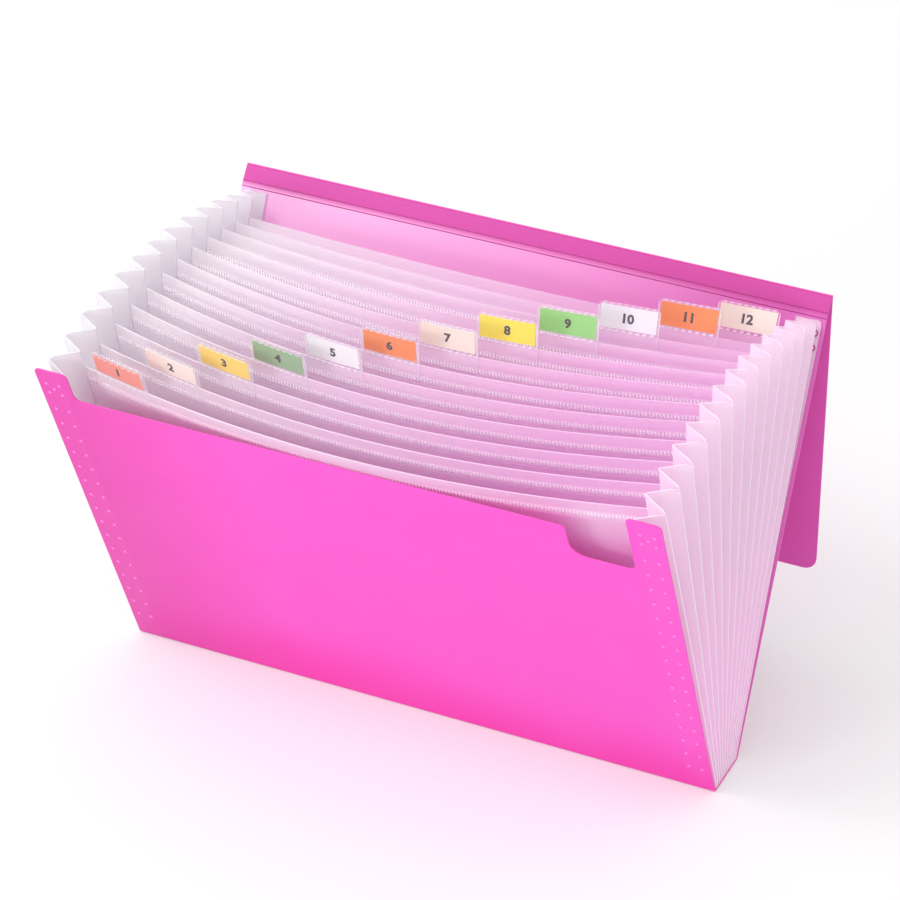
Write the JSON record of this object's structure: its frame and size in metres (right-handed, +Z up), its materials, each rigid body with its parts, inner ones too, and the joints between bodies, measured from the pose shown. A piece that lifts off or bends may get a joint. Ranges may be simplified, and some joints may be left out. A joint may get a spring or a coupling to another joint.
{
  "type": "expanding file pocket",
  "caption": "Expanding file pocket of folded film, open like a fan on its narrow spine, with a hinged flap, pleated sides, dividers and labelled tabs.",
  "frame": {"origin": "middle of the spine's underside, where the pocket stands", "axes": "+Z up from the table, +X along the width, -Y towards the front panel"},
  "size_m": [0.33, 0.225, 0.2324],
  "materials": {
    "cover_film": "satin",
    "gusset_film": "frosted",
    "divider_film": "frosted",
    "sleeve_film": "clear",
    "label_paper_01": "matte",
    "label_paper_02": "matte",
    "label_paper_03": "matte",
    "label_paper_04": "matte",
    "label_paper_05": "matte",
    "label_paper_06": "matte",
    "label_paper_07": "matte",
    "label_paper_08": "matte",
    "label_paper_09": "matte",
    "label_paper_10": "matte",
    "label_paper_11": "matte",
    "label_paper_12": "matte"
  },
  "bodies": {
    "pocket": {"cover": "cover_film", "gusset_left": "gusset_film", "gusset_right": "gusset_film", "divider_01": "divider_film", "tab_sleeve_01": "sleeve_film", "tab_label_01": "label_paper_01", "divider_02": "divider_film", "tab_sleeve_02": "sleeve_film", "tab_label_02": "label_paper_02", "divider_03": "divider_film", "tab_sleeve_03": "sleeve_film", "tab_label_03": "label_paper_03", "divider_04": "divider_film", "tab_sleeve_04": "sleeve_film", "tab_label_04": "label_paper_04", "divider_05": "divider_film", "tab_sleeve_05": "sleeve_film", "tab_label_05": "label_paper_05", "divider_06": "divider_film", "tab_sleeve_06": "sleeve_film", "tab_label_06": "label_paper_06", "divider_07": "divider_film", "tab_sleeve_07": "sleeve_film", "tab_label_07": "label_paper_07", "divider_08": "divider_film", "tab_sleeve_08": "sleeve_film", "tab_label_08": "label_paper_08", "divider_09": "divider_film", "tab_sleeve_09": "sleeve_film", "tab_label_09": "label_paper_09", "divider_10": "divider_film", "tab_sleeve_10": "sleeve_film", "tab_label_10": "label_paper_10", "divider_11": "divider_film", "tab_sleeve_11": "sleeve_film", "tab_label_11": "label_paper_11", "divider_12": "divider_film", "tab_sleeve_12": "sleeve_film", "tab_label_12": "label_paper_12"},
    "flap": {"flap": "cover_film"}
  },
  "joints": [
    {"name": "flap_fold", "type": "hinge", "parent": "pocket", "child": "flap", "pos_m": [0, 0.12165, 0.21632], "axis": [1, 0, 0], "range_deg": [-25.5, 258]}
  ]
}
